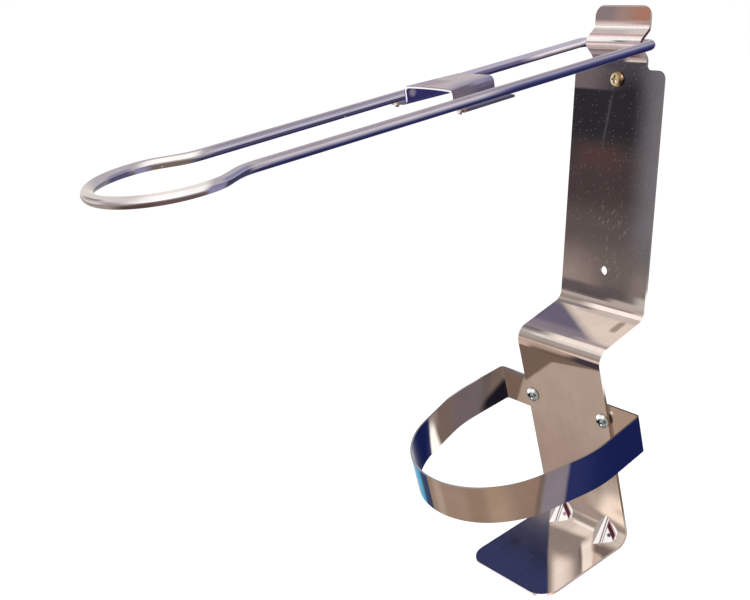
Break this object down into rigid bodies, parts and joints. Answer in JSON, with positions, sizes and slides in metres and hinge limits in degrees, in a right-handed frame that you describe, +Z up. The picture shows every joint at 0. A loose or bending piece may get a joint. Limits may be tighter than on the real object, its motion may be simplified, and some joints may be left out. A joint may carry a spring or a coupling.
{
  "type": "wall-mounted elbow-lever bottle bracket",
  "caption": "Polished steel wall bracket for a pump bottle: bent strip with foot, strap ring for the bottle and a long wire elbow lever with a saddle that presses the pump.",
  "frame": {"origin": "on the wall plane, which is the back face of the upper plate, on the axis of the upper wall screw", "axes": "+X to the right seen from the room, +Y into the wall, +Z up"},
  "size_m": [0.1068, 0.3268, 0.3076],
  "materials": {
    "bracket_steel": "polished stainless sheet, nearly mirror bright",
    "strap_steel": "polished stainless strap",
    "wire_steel": "polished stainless wire",
    "saddle_steel": "bright stainless sheet",
    "weld_tint": "weld bead with brown heat tint",
    "bright_zinc": "bright zinc plating",
    "yellow_zinc": "yellow passivated zinc plating"
  },
  "bodies": {
    "wall_bracket": {"bracket": "bracket_steel", "bottle_ring": "strap_steel", "ring_screw_left": "bright_zinc", "ring_screw_right": "bright_zinc", "ring_washer_left": "bright_zinc", "ring_washer_right": "bright_zinc", "ring_nut_left": "bright_zinc", "ring_nut_right": "bright_zinc", "wall_screw": "yellow_zinc"},
    "elbow_lever": {"lever_wire": "wire_steel", "pump_saddle": "saddle_steel", "saddle_weld_left": "weld_tint", "saddle_weld_right": "weld_tint"}
  },
  "joints": [
    {"name": "lever_hinge", "type": "hinge", "parent": "wall_bracket", "child": "elbow_lever", "pos_m": [0, -0.0036, 0.0185], "axis": [1, 0, 0], "range_deg": [-100, 49.5]}
  ]
}
